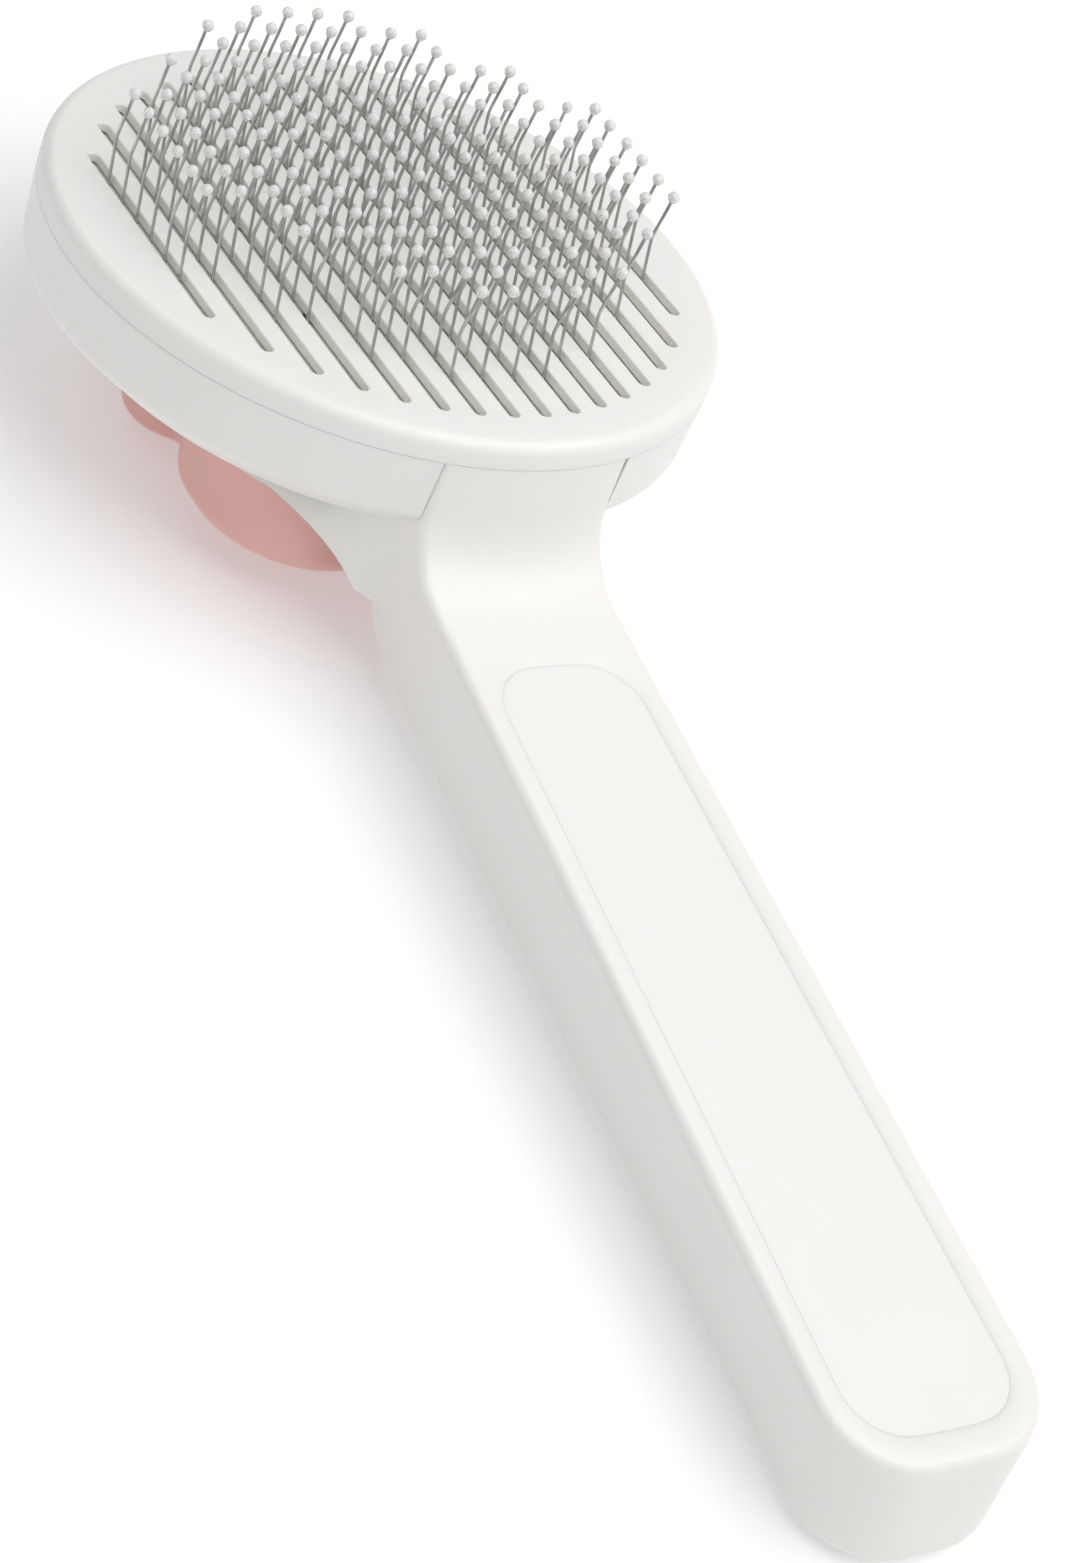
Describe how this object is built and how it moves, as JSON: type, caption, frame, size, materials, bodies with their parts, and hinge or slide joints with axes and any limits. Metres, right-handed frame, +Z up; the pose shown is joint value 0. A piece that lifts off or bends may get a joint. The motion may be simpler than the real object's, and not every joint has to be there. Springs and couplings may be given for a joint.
{
  "type": "slicker brush",
  "caption": "Hand-held grooming brush: rows of bent wire pins stand through a slotted face plate, and a paw-shaped button on the back pushes the plate along the pins to lift off loose hair.",
  "frame": {"origin": "bottom centre of the bounding box, with the brush lying on its back on the paw button's toes and the handle's end", "axes": "+Y from the handle to the head, +Z up out of the pins' side, +X to the right across the head"},
  "size_m": [0.078, 0.1918, 0.0437],
  "materials": {
    "white_plastic": "satin moulded",
    "pink_plastic": "satin moulded",
    "inner_plastic": "moulded",
    "pad": "soft matt",
    "pin_wire": "drawn wire",
    "tip_resin": "translucent bead",
    "spring_steel": "drawn wire",
    "screw_steel": "plated"
  },
  "bodies": {
    "brush": {"body_shell": "white_plastic", "handle_cover": "white_plastic", "head_ring": "white_plastic", "backing_plate": "inner_plastic", "backing_screws": "screw_steel", "needle_pad": "pad", "pin_staples_1": "pin_wire", "pin_staples_2": "pin_wire", "pin_staples_3": "pin_wire", "pin_staples_4": "pin_wire", "pin_staples_5": "pin_wire", "pin_staples_6": "pin_wire", "pin_staples_7": "pin_wire", "pin_staples_8": "pin_wire", "pin_tips_1": "tip_resin", "pin_tips_2": "tip_resin", "pin_tips_3": "tip_resin", "pin_tips_4": "tip_resin", "pin_tips_5": "tip_resin", "pin_tips_6": "tip_resin", "pin_tips_7": "tip_resin", "pin_tips_8": "tip_resin", "return_spring": "spring_steel"},
    "carriage": {"face_plate": "white_plastic", "guide_post_1": "inner_plastic", "guide_post_2": "inner_plastic", "guide_post_3": "inner_plastic", "guide_post_4": "inner_plastic", "pusher_plate": "inner_plastic", "paw_button": "pink_plastic", "post_screws": "screw_steel"}
  },
  "joints": [
    {"name": "push_off", "type": "slide", "parent": "brush", "child": "carriage", "axis": [0, 0.1537, 0.9881], "range_m": [0, 0.008], "stiffness_N_per_m": 600, "springref_m": -0.01, "deforming": ["return_spring"]}
  ]
}
